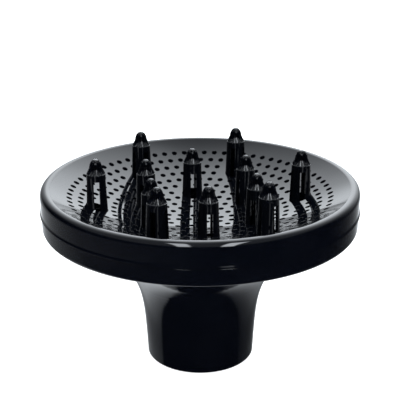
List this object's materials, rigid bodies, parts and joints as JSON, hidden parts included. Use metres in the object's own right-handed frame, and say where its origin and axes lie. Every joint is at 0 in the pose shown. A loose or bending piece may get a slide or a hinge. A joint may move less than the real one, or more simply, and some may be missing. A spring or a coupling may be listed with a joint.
{
  "type": "hair dryer diffuser",
  "caption": "Round hair dryer diffuser: flared neck that takes the nozzle, and a lift-off front with a concave perforated dish and slotted fingers.",
  "frame": {"origin": "centre of the neck's mouth, on the plane that the neck stands on", "axes": "+Z along the body's axis, from the neck's mouth towards the dish and the fingers' tips; +X to the right and +Y away when seen from the front"},
  "size_m": [0.151, 0.151, 0.1016],
  "materials": {
    "shell_plastic": "high gloss black moulding",
    "rim_plastic": "high gloss black moulding",
    "dish_plastic": "high gloss black moulding",
    "finger_plastic": "gloss black moulding",
    "tip_plastic": "gloss black moulding, fluted",
    "baffle_plastic": "satin black moulding",
    "sleeve_rubber": "matte silicone rubber",
    "screw_steel": "zinc-plated steel"
  },
  "bodies": {
    "rear_unit": {"rear_shell": "shell_plastic", "grip_sleeve": "sleeve_rubber", "air_baffle": "baffle_plastic", "baffle_screw_1": "screw_steel", "baffle_screw_2": "screw_steel", "baffle_screw_3": "screw_steel"},
    "front_unit": {"rim_ring": "rim_plastic", "dish_grille": "dish_plastic", "finger_outer_1": "finger_plastic", "finger_outer_2": "finger_plastic", "finger_outer_3": "finger_plastic", "finger_outer_4": "finger_plastic", "finger_outer_5": "finger_plastic", "finger_outer_6": "finger_plastic", "finger_inner_1": "finger_plastic", "finger_inner_2": "finger_plastic", "finger_inner_3": "finger_plastic", "finger_inner_4": "finger_plastic", "finger_inner_5": "finger_plastic", "finger_inner_6": "finger_plastic", "tip_outer_1": "tip_plastic", "tip_outer_2": "tip_plastic", "tip_outer_3": "tip_plastic", "tip_outer_4": "tip_plastic", "tip_outer_5": "tip_plastic", "tip_outer_6": "tip_plastic", "tip_inner_1": "tip_plastic", "tip_inner_2": "tip_plastic", "tip_inner_3": "tip_plastic", "tip_inner_4": "tip_plastic", "tip_inner_5": "tip_plastic", "tip_inner_6": "tip_plastic"}
  },
  "joints": [
    {"name": "front_lift", "type": "slide", "parent": "rear_unit", "child": "front_unit", "axis": [0, 0, 1], "range_m": [0, 0.03]}
  ]
}
